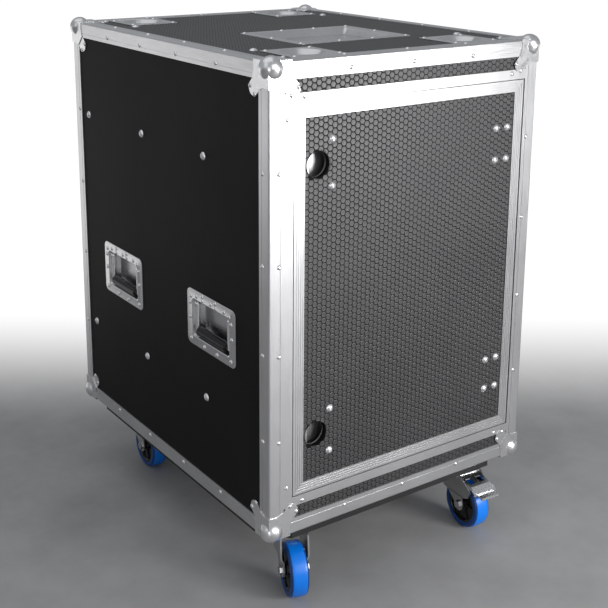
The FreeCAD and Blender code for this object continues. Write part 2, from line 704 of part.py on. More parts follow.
def door_slide(height):
    """A channel rail on the wall beside the door's pocket."""
    wall = CASE_WIDTH - SKIN
    length = (SLIDE_START, CASE_DEPTH - SLIDE_START - SLIDE_END)
    half = SLIDE_HEIGHT / 2
    rail = block((wall - SLIDE_THICKNESS, wall), length, (height - half, height + half))
    hollow = block((wall - SLIDE_THICKNESS + SHEET, wall - SHEET), (0, CASE_DEPTH),
                   (height - half + SHEET, height + half - SHEET))
    foot_end = PIVOT_DEPTH + CRANK_REACH + FOOT_LENGTH
    mouth = block((wall - SLIDE_THICKNESS - 1, wall - SLIDE_THICKNESS + 2 * SHEET), (foot_end, CASE_DEPTH),
                  (height - half + SLIDE_LIP, height + half - SLIDE_LIP))
    return rail.cut(hollow).cut(mouth)


def latch_case(height):
    """The steel box behind the finger hole, with a slot for the bolt in its side wall."""
    back = DOOR_THICKNESS + LATCH_CASE_DEPTH
    sides, ups = (LATCH_CASE_START, LATCH_CASE_END), (height - LATCH_CASE_HALF, height + LATCH_CASE_HALF)
    box = block(sides, (DOOR_THICKNESS, back), ups)
    inside = [(low + LATCH_SHEET, high - LATCH_SHEET) for low, high in (sides, (DOOR_THICKNESS, back), ups)]
    hollow = block(*inside)
    finger = rod(at(LATCH_SIDE, 0, height), at(LATCH_SIDE, back - 2 * LATCH_SHEET, height), FINGER_RADIUS)
    bar_front = DOOR_THICKNESS + LATCH_SHEET + BAR_FIT
    slot = block((sides[0] - 1, sides[0] + 2 * LATCH_SHEET),
                 (bar_front - BAR_FIT, bar_front + BAR_THICKNESS + BAR_FIT),
                 (height - BAR_HALF - BAR_FIT, height + BAR_HALF + BAR_FIT))
    return box.cut(hollow).cut(finger).cut(slot)


def latch_bolt(height):
    """The sliding bolt: a bar, the finger plate on its front, and the plate's lip bent to the back."""
    front = DOOR_THICKNESS + LATCH_SHEET + BAR_FIT
    back = front + BAR_THICKNESS
    plate_start = LATCH_CASE_START + LATCH_SHEET + LATCH_TRAVEL + BAR_FIT
    plate_end = LATCH_SIDE - PLATE_SETBACK
    bar = block((DOOR_LEFT + 1, plate_end - LIP_BEND), (front, back), (height - BAR_HALF, height + BAR_HALF))
    finger = (height - PLATE_HALF, height + PLATE_HALF)
    plate = block((plate_start, plate_end), (front, front + PLATE_SHEET), finger)
    lip = block((plate_end - PLATE_SHEET, plate_end), (front, back), finger)
    bent = plate.fuse(lip).removeSplitter()
    corner = at(plate_end, front, height)
    bend = [edge for edge in bent.Edges if edge.CenterOfMass.distanceToPoint(corner) < 0.1]
    return joined([bent.makeFillet(PLATE_BEND, bend), bar])


def door_bolts():
    head_seat = FRAME_SHEET
    long_bolt = bolt(DOOR_THICKNESS)
    places = [at(PIVOT_SIDE - inset, head_seat, height + up) for height in HINGE_HEIGHTS
              for inset in HINGE_BOLT_PLACES for up in (-HINGE_BOLT_HALF, HINGE_BOLT_HALF)]
    places += [at(LATCH_BOLT_SIDE, head_seat, height + up) for height in LATCH_HEIGHTS
               for up in (-LATCH_BOLT_HALF, LATCH_BOLT_HALF)]
    return [facing(long_bolt, place, -Y) for place in places]


def doors():
    pieces = {
        "door_frame": door_frame(),
        "door_panel": [door_panel()],
        "hinge_leaves": [hinge_leaf(height) for height in HINGE_HEIGHTS],
        "latch_cases": [latch_case(height) for height in LATCH_HEIGHTS],
        "latch_bolt_lower": [latch_bolt(LATCH_HEIGHTS[0])],
        "latch_bolt_upper": [latch_bolt(LATCH_HEIGHTS[1])],
        "door_bolts": door_bolts(),
    }
    for name, shapes in pieces.items():
        save(name + "_front", shapes)
        save(name + "_rear", [turned(shape, 180, Z, CASE_MIDDLE) for shape in shapes])
    save("hinge_carriages", with_rear([hinge_carriage(height) for height in HINGE_HEIGHTS]))
    save("door_slides", with_rear([door_slide(height) for height in HINGE_HEIGHTS]))


# --- Rack rails and the bolts of the case ----------------------------------------------------

def rack_rail():
    """The front left rail: a drilled face, a web and a foot at each end."""
    hole_side = (CASE_WIDTH - RACK_HOLE_SPACING) / 2
    inner = (CASE_WIDTH - RAIL_INNER_GAP) / 2
    outer = inner - RAIL_FACE
    front = RAIL_BOLTS[0] - RAIL_DEPTH / 2
    depths = (front, front + RAIL_DEPTH)
    heights = (SKIN, CASE_HEIGHT - SKIN)
    face = block((outer, inner), (front, front + RAIL_SHEET), heights)
    web = block((outer, outer + RAIL_SHEET), depths, heights)
    feet = [block((outer, inner), depths, ends) for ends in
            ((SKIN, SKIN + RAIL_SHEET), (heights[1] - RAIL_SHEET, heights[1]))]
    first = CASE_HEIGHT / 2 - RACK_UNITS * RACK_UNIT / 2 + (RACK_UNIT - 2 * RACK_HOLE_STEP) / 2
    holes = []
    for unit in range(RACK_UNITS):
        for step in range(3):
            up = first + unit * RACK_UNIT + step * RACK_HOLE_STEP
            back = front + RAIL_SHEET + 1
            holes.append(rod(at(hole_side, front - 1, up), at(hole_side, back, up), RACK_HOLE_RADIUS))
    return joined([face, web] + feet).cut(Part.makeCompound(holes))


def rack_rails():
    left = rack_rail()
    offset = RAIL_BOLTS[0] + RAIL_BOLTS[1] - CASE_DEPTH
    rear = moved(mirrored(left, Y), (0, offset, 0))
    save("rack_rails", with_mirrors([left, rear], [X]))


def dome_screw():
    """A small screw that clears the rail's web and face."""
    return dome(RIVET_RADIUS, RIVET_RISE).fuse(rod((0, 0, -SKIN), (0, 0, 0.2), RIVET_SHANK))


def case_bolts():
    """Bolts of the rack rails through the top, screws in their lower feet, and bolts of the door slides."""
    rail_side = (CASE_WIDTH - RAIL_INNER_GAP - RAIL_FACE) / 2
    short = bolt(PANEL + RAIL_SHEET)
    made = []
    for side in (rail_side, CASE_WIDTH - rail_side):
        for back in RAIL_BOLTS:
            made.append(facing(short, at(side, back, CASE_HEIGHT - SURFACE), Z))
            made.append(facing(dome_screw(), at(side, back, SKIN + RAIL_SHEET), Z))
    places = [at(CASE_WIDTH - SURFACE, back, up) for back in SLIDE_BOLTS for up in HINGE_HEIGHTS]
    save("case_bolts", made + with_rear([facing(short, place, X) for place in places]))


# --- Handles ---------------------------------------------------------------------------------

def handle_dish():
    """The dish with two bearing lugs for the bail's ends."""
    dish = handle_tray()[0]
    near = BAIL_HALF + BAIL_ROD + BAR_FIT
    far = near + BEARING_SHEET
    lugs = []
    for side in (-1, 1):
        ends = sorted((side * near, side * far))
        lugs.append(slab((ends[0], BAIL_PIVOT_UP - LUG_HALF, -HANDLE_RECESS + HANDLE_SHEET / 2),
                         (ends[1], BAIL_PIVOT_UP + LUG_HALF, -1)))
    up, depth = BAIL_PIVOT_UP, -BAIL_PIVOT_IN
    return joined([dish] + lugs).cut(rod((-far, up, depth), (far, up, depth), BAIL_ROD + RUNNING_FIT))


def bail():
    """A round steel bar bent into a U, its ends turned out into the lugs; the grip hangs low."""
    depth = BAIL_PIVOT_IN
    top, low = BAIL_PIVOT_UP, BAIL_PIVOT_UP - BAIL_DROP
    end = BAIL_HALF + BAIL_ROD + BEARING_SHEET
    pieces = []
    for side in (-1, 1):
        x = side * BAIL_HALF
        pieces.append(rod((x, low, -depth), (x, top, -depth), BAIL_ROD))
        pieces.append(rod((x, top, -depth), (side * end, top, -depth), BAIL_ROD))
        pieces.append(rod((x, low, -depth), (side * GRIP_HALF, low, -depth), BAIL_ROD))
        for level in (top, low):
            pieces.append(Part.makeSphere(BAIL_ROD, FreeCAD.Vector(x, level, -depth)))
    pieces.append(rod((-GRIP_HALF, low, -depth), (GRIP_HALF, low, -depth), BAIL_ROD))
    return joined(pieces)


def grip():
    depth = BAIL_PIVOT_IN
    low = BAIL_PIVOT_UP - BAIL_DROP
    body = rod((-GRIP_HALF, low, -depth), (GRIP_HALF, low, -depth), GRIP_RADIUS)
    body = body.makeFillet(GRIP_EDGE, [edge for edge in body.Edges if len(edge.Vertexes) == 1])
    return body.cut(rod((-GRIP_HALF - 1, low, -depth), (GRIP_HALF + 1, low, -depth), BAIL_ROD))


def handles():
    made = {"handle_dish": handle_dish(), "handle_bail": bail(), "handle_grip": grip()}
    for end, back in zip(("front", "rear"), HANDLE_PLACES):
        for name, shape in made.items():
            left = on_left(shape, back)
            save("%s_left_%s" % (name, end), [left])
            save("%s_right_%s" % (name, end), [mirrored(left, X)])


# --- Castors ---------------------------------------------------------------------------------

def castor_centres():
    side, end = HALF_WIDTH - CASTOR_INSET_SIDE, HALF_DEPTH - CASTOR_INSET_END
    front, rear = MIDDLE_BACK - end, MIDDLE_BACK + end
    return {"front_left": (-side, front), "front_right": (side, front),
            "rear_left": (-side, rear), "rear_right": (side, rear)}


def leg_sheet(side):
    """The bent sheet of one leg: upright beside the hub, out a step and up past the crown."""
    low = side * (WHEEL_WIDTH / 2 + FORK_GAP)
    high = low + side * FORK_FLARE
    line = [(low, 0), (low, FLARE_HEIGHTS[0]), (high, FLARE_HEIGHTS[1]), (high, CASTOR_HEIGHT)]
    section = line + [(across + side * FORK_SHEET, up) for across, up in reversed(line)]
    length = SKIRT_REACH + CROWN_BACK + 2
    return prism([(across, -SKIRT_REACH - 1, up) for across, up in section], Y * length)


def leg_outline(braked):
    """A leg seen from the side, as a solid right across the fork. A braked one has a skirt."""
    half = FORK_HALF + 1
    crown_top = CROWN_LOW + CROWN_SHEET
    ear = (-TRAIL - EAR_WIDTH, crown_top + EAR_RISE)
    leg = [(-TRAIL - FORK_BOSS, WHEEL_RADIUS), (-TRAIL + FORK_BOSS, WHEEL_RADIUS), (CROWN_BACK, CROWN_LOW),
           (CROWN_BACK, crown_top), ear]
    outlines = [leg]
    if braked:
        outlines.append(list(SKIRT_OUTLINE) + [ear, (-TRAIL + FORK_BOSS, CROWN_LOW)])
    solids = [prism([(-half, back, up) for back, up in points], X * (2 * half)) for points in outlines]
    boss = rod((-half, -TRAIL, WHEEL_RADIUS), (half, -TRAIL, WHEEL_RADIUS), FORK_BOSS)
    return joined(solids + [boss])


def fork(braked):
    """Crown, two legs and bearing drum, with the wheel trailing towards -Y."""
    outline = leg_outline(braked)
    legs = [outline.common(leg_sheet(side)) for side in (-1, 1)]
    crown = slab((-FORK_HALF, -RACE_RADIUS, CROWN_LOW), (FORK_HALF, CROWN_BACK, CROWN_LOW + CROWN_SHEET))
    race_top = CASTOR_HEIGHT - TOP_PLATE_SHEET - RACE_GAP
    drum = rod((0, 0, CROWN_LOW), (0, 0, race_top), RACE_RADIUS)
    bores = [rod((0, 0, CROWN_LOW - 1), (0, 0, race_top + 1), KINGPIN_RADIUS + RUNNING_FIT)]
    end = FORK_HALF + 1
    bores.append(rod((-end, -TRAIL, WHEEL_RADIUS), (end, -TRAIL, WHEEL_RADIUS), AXLE_RADIUS))
    if braked:
        back, up = PEDAL_PIVOT
        bores.append(rod((-end, -back, up), (end, -back, up), PEDAL_PIN + RUNNING_FIT))
    return joined([crown, drum] + legs).cut(Part.makeCompound(bores))


def axle():
    end = WHEEL_WIDTH / 2 + FORK_GAP + FORK_SHEET
    tip = end + NUT_HEIGHT
    pieces = [rod((-tip, -TRAIL, WHEEL_RADIUS), (tip, -TRAIL, WHEEL_RADIUS), AXLE_RADIUS)]
    turns = [math.radians(60 * i) for i in range(6)]
    for side in (-1, 1):
        nut = [(side * end, NUT_RADIUS * math.cos(turn) - TRAIL, NUT_RADIUS * math.sin(turn) + WHEEL_RADIUS)
               for turn in turns]
        pieces.append(prism(nut, X * (side * NUT_HEIGHT)))
    return joined(pieces)


def disc(start, end, radius):
    """A cylinder round the wheel's axis, between two distances from the wheel's middle."""
    return rod((start, -TRAIL, WHEEL_RADIUS), (end, -TRAIL, WHEEL_RADIUS), radius)


def tyre():
    half = WHEEL_WIDTH / 2
    body = disc(-half, half, WHEEL_RADIUS)
    body = body.makeFillet(TYRE_EDGE, [edge for edge in body.Edges if len(edge.Vertexes) == 1])
    return body.cut(disc(-half - 1, half + 1, WHEEL_RADIUS - TYRE_DEPTH))


def wheel_core():
    """A disc with a hub through it and a ring-shaped hollow in each face."""
    rim = WHEEL_RADIUS - TYRE_DEPTH
    face = WHEEL_WIDTH / 2 - CORE_SETBACK
    hub_end = WHEEL_WIDTH / 2 + FORK_GAP - BAR_FIT
    body = disc(-face, face, rim)
    for side in (-1, 1):
        bottom = side * (face - CORE_DISH)
        hollow = disc(bottom, side * (face + 1), rim - CORE_RIM)
        body = body.cut(hollow.cut(disc(bottom, side * (face + 1), HUB_RADIUS + CORE_HUB_WALL)))
    body = joined([body, disc(-hub_end, hub_end, HUB_RADIUS)])
    return body.cut(disc(-hub_end - 1, hub_end + 1, AXLE_RADIUS + RUNNING_FIT))


def pedal_sheet(points, half, thickness=PEDAL_SHEET):
    """A sheet across the pedal whose top follows (reach, height) points."""
    top = [(-half, -reach, up) for reach, up in points]
    under = [(-half, -reach, up - thickness) for reach, up in reversed(points)]
    return prism(top + under, X * (2 * half))


def pedal():
    """A brake pedal over the wheel: a slotted arm with side walls, a wide tread and a shelf below it."""
    narrow = WHEEL_WIDTH / 2 + FORK_GAP + FORK_FLARE - BAR_FIT
    wall, wall_depth = PEDAL_WALL
    tread_start = SKIRT_REACH + PEDAL_CLEARANCE
    share = (tread_start - PEDAL_SHOULDER[0]) / (TREAD_END[0] - PEDAL_SHOULDER[0])
    neck = (tread_start, PEDAL_SHOULDER[1] + share * (TREAD_END[1] - PEDAL_SHOULDER[1]))
    arm = pedal_sheet([PEDAL_HEEL, PEDAL_SHOULDER, neck], narrow)
    walls = pedal_sheet([PEDAL_HEEL, PEDAL_SHOULDER], narrow, wall_depth)
    walls = walls.cut(pedal_sheet([PEDAL_HEEL, PEDAL_SHOULDER], narrow - wall, wall_depth))
    near, far = PEDAL_SLOT
    slots = [slab((min(side * near, side * far), -PEDAL_SLOT_REACH[1], 0),
                  (max(side * near, side * far), -PEDAL_SLOT_REACH[0], CASTOR_HEIGHT)) for side in (-1, 1)]
    end, level = TREAD_END
    tread = pedal_sheet([neck, TREAD_END], TREAD_HALF)
    lip = slab((-TREAD_HALF, -end, level - TREAD_LIP), (TREAD_HALF, PEDAL_SHEET - end, level))
    shelf = slab((-SHELF_HALF, -PEDAL_REACH, SHELF_LEVEL - PEDAL_SHEET),
                 (SHELF_HALF, PEDAL_SHEET - end, SHELF_LEVEL))
    shelf_lip = slab((-SHELF_HALF, -PEDAL_REACH, SHELF_LEVEL - SHELF_LIP),
                     (SHELF_HALF, PEDAL_SHEET - PEDAL_REACH, SHELF_LEVEL))
    back, up = PEDAL_PIVOT
    pin_end = FORK_HALF + PEDAL_PIN / 2
    pin = rod((-pin_end, -back, up), (pin_end, -back, up), PEDAL_PIN)
    return joined([arm.cut(Part.makeCompound(slots)), walls, tread, lip, shelf, shelf_lip, pin])


def castor_plate(x, y):
    """The plate under the board with its kingpin and the kingpin's head."""
    half_x, half_y = TOP_PLATE[0] / 2, TOP_PLATE[1] / 2
    top = CASTOR_HEIGHT
    plate = slab((x - half_x, y - half_y, top - TOP_PLATE_SHEET), (x + half_x, y + half_y, top))
    head_top = CROWN_LOW - RACE_GAP
    kingpin = rod((x, y, head_top), (x, y, top), KINGPIN_RADIUS)
    head = rod((x, y, head_top - KINGPIN_HEAD_DEPTH), (x, y, head_top), KINGPIN_HEAD)
    return joined([plate, kingpin, head])


def plate_bolts(x, y):
    one = dome(BOLT_RADIUS, BOLT_RISE).fuse(rod((0, 0, -PLATE_BOLT_LENGTH), (0, 0, 0.2), BOLT_SHANK))
    across, along = PLATE_BOLTS
    places = [FreeCAD.Vector(x + u, y + v, CASTOR_HEIGHT - TOP_PLATE_SHEET)
              for u in (-across, across) for v in (-along, along)]
    return [facing(one, place, -Z) for place in places]


def castors():
    centres = castor_centres()
    for name, (x, y) in centres.items():
        def placed(shape):
            return moved(turned(shape, CASTOR_YAW[name]), (x, y, 0))
        if name in BRAKED:
            save("brake_pedal_" + name, [placed(pedal())])
        save("castor_fork_" + name, [placed(fork(name in BRAKED)), placed(axle())])
        save("wheel_tyre_" + name, [placed(tyre())])
        save("wheel_core_" + name, [placed(wheel_core())])
    save("castor_plates", [castor_plate(x, y) for x, y in centres.values()])
    save("castor_bolts", [one for x, y in centres.values() for one in plate_bolts(x, y)])


def castor_board():
    low, high = CASTOR_HEIGHT, CASE_BOTTOM
    half_x, half_y = HALF_WIDTH - BOARD_INSET, HALF_DEPTH - BOARD_INSET
    cut_x, cut_y = half_x - BOARD_CHAMFER, half_y - BOARD_CHAMFER
    outline = [(-cut_x, -half_y), (cut_x, -half_y), (half_x, -cut_y), (half_x, cut_y), (cut_x, half_y),
               (-cut_x, half_y), (-half_x, cut_y), (-half_x, -cut_y)]
    save("castor_board", [prism([(x, y + MIDDLE_BACK, low) for x, y in outline], Z * (high - low))])


os.makedirs("parts", exist_ok=True)
edge_angles()
ball_corners()
panels()
fascia()
jamb_strips()
top_dishes()
rivets()
doors()
rack_rails()
case_bolts()
handles()
castors()
castor_board()
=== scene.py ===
import json
import math

import bmesh
import bpy
from mathutils import Matrix, Vector


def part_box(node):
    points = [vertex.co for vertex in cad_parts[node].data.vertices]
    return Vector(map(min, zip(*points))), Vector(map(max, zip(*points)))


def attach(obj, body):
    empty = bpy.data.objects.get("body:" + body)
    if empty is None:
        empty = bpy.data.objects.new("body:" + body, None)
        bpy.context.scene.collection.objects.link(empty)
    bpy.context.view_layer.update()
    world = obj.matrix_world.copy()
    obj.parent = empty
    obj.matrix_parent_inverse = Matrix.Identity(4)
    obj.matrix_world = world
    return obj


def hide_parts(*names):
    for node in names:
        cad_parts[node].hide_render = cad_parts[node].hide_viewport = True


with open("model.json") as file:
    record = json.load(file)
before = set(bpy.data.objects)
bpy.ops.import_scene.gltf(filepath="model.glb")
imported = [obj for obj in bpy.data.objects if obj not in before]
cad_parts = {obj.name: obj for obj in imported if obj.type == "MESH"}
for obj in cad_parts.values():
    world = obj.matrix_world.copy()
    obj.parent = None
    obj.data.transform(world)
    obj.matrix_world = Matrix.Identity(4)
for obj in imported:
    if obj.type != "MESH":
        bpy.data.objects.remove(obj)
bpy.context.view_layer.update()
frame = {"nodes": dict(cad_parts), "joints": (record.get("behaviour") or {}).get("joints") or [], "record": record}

# Looks for the road case. Metres, in the CAD's own frame: front door faces -Y, +Z up.

MM = 0.001
nodes = frame["nodes"]
openings = {o["name"]: o for o in frame["record"]["physics"].get("openings", [])}


# ---------------------------------------------------------------- materials

def blank_material(name):
    made = bpy.data.materials.new(name)
    made.use_nodes = True
    return made, made.node_tree, made.node_tree.nodes["Principled BSDF"]


def object_coords(tree, stretch=(1, 1, 1)):
    coords = tree.nodes.new("ShaderNodeTexCoord")
    mapping = tree.nodes.new("ShaderNodeMapping")
    mapping.inputs["Scale"].default_value = stretch
    tree.links.new(coords.outputs["Object"], mapping.inputs["Vector"])
    return mapping.outputs["Vector"]


def noise(tree, scale, detail=3.0, roughness=0.55, stretch=(1, 1, 1)):
    texture = tree.nodes.new("ShaderNodeTexNoise")
    texture.inputs["Scale"].default_value = scale
    texture.inputs["Detail"].default_value = detail
    texture.inputs["Roughness"].default_value = roughness
    tree.links.new(object_coords(tree, stretch), texture.inputs["Vector"])
    return texture.outputs["Fac"]


# Most of a noise's values lie between these two.
NOISE_LOW, NOISE_HIGH = 0.3, 0.7


def ramp(tree, value, stops):
    made = tree.nodes.new("ShaderNodeValToRGB")
    elements = made.color_ramp.elements
    while len(elements) < len(stops):
        elements.new(0.5)
    for element, (place, colour) in zip(elements, stops):
        element.position = place
        element.color = (*colour, 1.0)
    tree.links.new(value, made.inputs["Fac"])
    return made.outputs["Color"]


def spread(tree, value, low, high):
    made = tree.nodes.new("ShaderNodeMapRange")
    made.inputs["From Min"].default_value = NOISE_LOW
    made.inputs["From Max"].default_value = NOISE_HIGH
    made.inputs["To Min"].default_value = low
    made.inputs["To Max"].default_value = high
    tree.links.new(value, made.inputs["Value"])
    return made.outputs["Result"]


def bump(tree, bsdf, height, strength, distance):
    made = tree.nodes.new("ShaderNodeBump")
    made.inputs["Strength"].default_value = strength
    made.inputs["Distance"].default_value = distance
    tree.links.new(height, made.inputs["Height"])
    tree.links.new(made.outputs["Normal"], bsdf.inputs["Normal"])


def metal(name, dark, light, rough, scale, stretch=(1, 1, 1), relief=0.02 * MM, strength=0.25):
    """Bare metal: fine grain in its roughness and relief, drawn out along one way where it is brushed."""
    made, tree, bsdf = blank_material(name)
    grain = noise(tree, scale, 4.0, 0.6, stretch)
    stain = noise(tree, 9.0, 2.0)
    tree.links.new(ramp(tree, stain, ((NOISE_LOW, dark), (NOISE_HIGH, light))), bsdf.inputs["Base Color"])
    tree.links.new(spread(tree, grain, rough[0], rough[1]), bsdf.inputs["Roughness"])
    bsdf.inputs["Metallic"].default_value = 1.0
    bump(tree, bsdf, grain, strength, relief)
    return made


def plastic(name, dark, light, rough, scale, relief, strength, specular=0.5):
    """Plastic, rubber or painted board, with a fine grain and a colour that drifts a little."""
    made, tree, bsdf = blank_material(name)
    grain = noise(tree, scale, 3.0)
    stain = noise(tree, 6.0, 3.0)
    tree.links.new(ramp(tree, stain, ((NOISE_LOW, dark), (NOISE_HIGH, light))), bsdf.inputs["Base Color"])
    tree.links.new(spread(tree, grain, rough[0], rough[1]), bsdf.inputs["Roughness"])
    bsdf.inputs["Specular IOR Level"].default_value = specular
    bump(tree, bsdf, grain, strength, relief)
    return made


def metal_grey(level):
    """A metal's grey, very slightly blue."""
    return (level, level, level * 1.01)


def even_grey(level):
    return (level, level, level)


ALONG = {"x": (0.02, 1, 1), "y": (1, 0.02, 1), "z": (1, 1, 0.02)}
aluminium = {}
for way, stretch in ALONG.items():
    aluminium[way] = metal("aluminium_" + way, metal_grey(0.62), metal_grey(0.70), (0.30, 0.42), 900.0,
                           stretch, 0.04 * MM, 0.35)
zinc_plate = metal("zinc_plate", metal_grey(0.50), metal_grey(0.60), (0.24, 0.34), 160.0)
rivet_steel = metal("rivet_steel", metal_grey(0.80), metal_grey(0.88), (0.22, 0.3), 500.0)
bolt_steel = metal("bolt_steel", metal_grey(0.80), metal_grey(0.90), (0.28, 0.36), 500.0)
steel = metal("steel", metal_grey(0.46), metal_grey(0.56), (0.3, 0.42), 200.0)
fork_zinc = metal("fork_zinc", metal_grey(0.52), metal_grey(0.64), (0.28, 0.42), 120.0)
chrome = metal("chrome", metal_grey(0.90), metal_grey(0.95), (0.14, 0.22), 90.0, strength=0.05)
nickel = metal("satin_nickel", metal_grey(0.74), metal_grey(0.82), (0.26, 0.34), 120.0, strength=0.08)
pressed_zinc = metal("pressed_zinc", metal_grey(0.62), metal_grey(0.72), (0.26, 0.34), 120.0, strength=0.08)
pedal_zinc = metal("pedal_zinc", metal_grey(0.78), metal_grey(0.88), (0.22, 0.32), 160.0)
laminate = plastic("plain_laminate", even_grey(0.005), even_grey(0.008), (0.55, 0.66), 1400.0,
                   0.05 * MM, 0.25, specular=0.12)
hexed = plastic("hex_laminate", (0.024, 0.024, 0.025), (0.032, 0.032, 0.033), (0.40, 0.48), 2200.0,
                0.03 * MM, 0.3, specular=0.8)
# Painted shade: the board under the cells is a much darker copy of the cells' laminate, so the grooves between
# them read dark.
hex_groove_shade = plastic("hex_groove_shade", even_grey(0.004), even_grey(0.007), (0.6, 0.7), 1400.0,
                     0.05 * MM, 0.25, specular=0.1)
board = plastic("board", even_grey(0.008), even_grey(0.016), (0.6, 0.75), 300.0, 0.1 * MM, 0.4)
grip_rubber = plastic("grip_rubber", even_grey(0.003), even_grey(0.006), (0.2, 0.28), 900.0,
                      0.02 * MM, 0.15, specular=0.35)
tyre_blue = plastic("tyre", (0.0, 0.165, 0.72), (0.0, 0.21, 0.84), (0.28, 0.4), 300.0, 0.05 * MM, 0.25)
# The tyre's sides take a far darker copy of its blue: painted shade on the faces that point along the axle.
tyre_side_shade = plastic("tyre_side_shade", (0.0, 0.035, 0.17), (0.0, 0.05, 0.24), (0.25, 0.38), 300.0, 0.05 * MM, 0.25)
core_black = plastic("wheel_core", even_grey(0.004), even_grey(0.008), (0.14, 0.24), 300.0, 0.03 * MM, 0.2)

# The hex boards are painted near black, as painted shade in the grooves between the cells, and the embossed cells
# on them are pieces of their own.
BY_SLOT = {
    "aluminium": aluminium["z"], "zinc_plate": zinc_plate, "rivet": rivet_steel, "bolt": bolt_steel,
    "hex_laminate": hex_groove_shade, "plain_laminate": laminate, "board": board, "steel": steel, "chrome": chrome,
    "grip_rubber": grip_rubber, "tyre": tyre_blue, "wheel_core": core_black,
}


def repaint(name, made):
    for place in nodes[name].material_slots:
        place.material = made


for name, obj in nodes.items():
    repaint(name, BY_SLOT[obj.material_slots[0].material.name])
for way, node in (("x", "edge_angles_cross"), ("y", "edge_angles_depth"), ("z", "edge_angles_upright")):
    repaint(node, aluminium[way])
repaint("ball_corners", nickel)
for name in nodes:
    if name.startswith("castor_fork"):
        repaint(name, fork_zinc)
    elif name.startswith("brake_pedal"):
        repaint(name, pedal_zinc)


# ---------------------------------------------------------------- camera and light

AZIMUTH, ELEVATION, ROLL = math.radians(34.861), math.radians(13.989), math.radians(0.3346)
SENSOR_MM, LENS_MM = 36.0, 66.52
SHIFT_X, SHIFT_Y = 0.0075, -0.1985
FROM_CORNER = Vector((-0.9602, -1.4643, 1.0816))

corner = Vector(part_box("edge_angles_upright")[0])
corner.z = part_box("edge_angles_depth")[0][2]
ahead = Vector((math.sin(AZIMUTH) * math.cos(ELEVATION), math.cos(AZIMUTH) * math.cos(ELEVATION),
                -math.sin(ELEVATION)))
right = ahead.cross(Vector((0, 0, 1))).normalized()
up = right.cross(ahead)
right, up = (math.cos(ROLL) * right + math.sin(ROLL) * up, -math.sin(ROLL) * right + math.cos(ROLL) * up)
camera_data = bpy.data.cameras.new("camera")
camera_data.sensor_width = SENSOR_MM
camera_data.lens = LENS_MM
camera_data.shift_x = SHIFT_X
camera_data.shift_y = SHIFT_Y
camera = bpy.data.objects.new("camera", camera_data)
bpy.context.collection.objects.link(camera)
turn = Matrix((right, up, -ahead)).transposed().to_4x4()
camera.matrix_world = Matrix.Translation(corner + FROM_CORNER) @ turn
bpy.context.scene.camera = camera

# Softboxes: name, place, the place it faces, its two sides, watts.
SOFTBOXES = (
    ("key", (0.2, -4.2, 2.2), (0, 0, 0.5), (3.0, 2.4), 62),
    ("sheen", (0.75, -2.0, 0.72), (-0.2, -0.4, 0.8), (0.6, 0.5), 23),
    ("overhead", (-0.8, 0.4, 3.4), (0, 0, 0.6), (3.0, 3.0), 14),
    ("side", (-3.4, -0.6, 2.6), (0, 0, 0.5), (2.0, 2.0), 6),
    ("left", (-2.6, -2.4, 0.8), (-0.3, 0, 0.5), (0.5, 1.2), 9),
)
for name, place, target, size, power in SOFTBOXES:
    light = bpy.data.lights.new(name, "AREA")
    light.shape = "RECTANGLE"
    light.size, light.size_y = size
    light.energy = power
    softbox = bpy.data.objects.new(name, light)
    bpy.context.collection.objects.link(softbox)
    softbox.location = place
    softbox.rotation_euler = (Vector(target) - Vector(place)).to_track_quat("-Z", "Y").to_euler()

# The world lights the case softly, and the camera sees it as plain white.
WORLD_TINT, WORLD_STRENGTH = (0.93, 0.96, 1.0, 1), 0.37
WHITE_STRENGTH = 1.05

world = bpy.data.worlds.new("studio")
world.use_nodes = True
world_tree = world.node_tree
light_back = world_tree.nodes["Background"]
light_back.inputs["Color"].default_value = WORLD_TINT
light_back.inputs["Strength"].default_value = WORLD_STRENGTH
seen_back = world_tree.nodes.new("ShaderNodeBackground")
seen_back.inputs["Color"].default_value = (1, 1, 1, 1)
seen_back.inputs["Strength"].default_value = WHITE_STRENGTH
seen = world_tree.nodes.new("ShaderNodeLightPath")
blend = world_tree.nodes.new("ShaderNodeMixShader")
world_tree.links.new(seen.outputs["Is Camera Ray"], blend.inputs["Fac"])
world_tree.links.new(light_back.outputs["Background"], blend.inputs[1])
world_tree.links.new(seen_back.outputs["Background"], blend.inputs[2])
world_tree.links.new(blend.outputs["Shader"], world_tree.nodes["World Output"].inputs["Surface"])
bpy.context.scene.world = world
bpy.context.scene.view_settings.view_transform = "Standard"

FLOOR_HALF = 20.0
# How far behind the case's middle, along the view, the floor starts to fade and has gone white.
FADE_BEGIN, FADE_END = 0.25, 1.15


def floor_material():
    """Pale grey round the case, going to plain white behind it."""
    made = plastic("floor_grey", even_grey(0.29), even_grey(0.36), (0.6, 0.8), 40.0, 0.2 * MM, 0.2)
    tree = made.node_tree
    bsdf = tree.nodes["Principled BSDF"]
    distance = tree.nodes.new("ShaderNodeVectorMath")
    distance.operation = "DOT_PRODUCT"
    distance.inputs[1].default_value = (math.sin(AZIMUTH), math.cos(AZIMUTH), 0)
    tree.links.new(object_coords(tree), distance.inputs[0])
    fade = tree.nodes.new("ShaderNodeMapRange")
    fade.interpolation_type = "SMOOTHSTEP"
    fade.inputs["From Min"].default_value = FADE_BEGIN
    fade.inputs["From Max"].default_value = FADE_END
    tree.links.new(distance.outputs["Value"], fade.inputs["Value"])
    glow = tree.nodes.new("ShaderNodeEmission")
    glow.inputs["Strength"].default_value = WHITE_STRENGTH
    mix = tree.nodes.new("ShaderNodeMixShader")
    tree.links.new(fade.outputs["Result"], mix.inputs["Fac"])
    tree.links.new(bsdf.outputs["BSDF"], mix.inputs[1])
    tree.links.new(glow.outputs["Emission"], mix.inputs[2])
    tree.links.new(mix.outputs["Shader"], tree.nodes["Material Output"].inputs["Surface"])
    return made


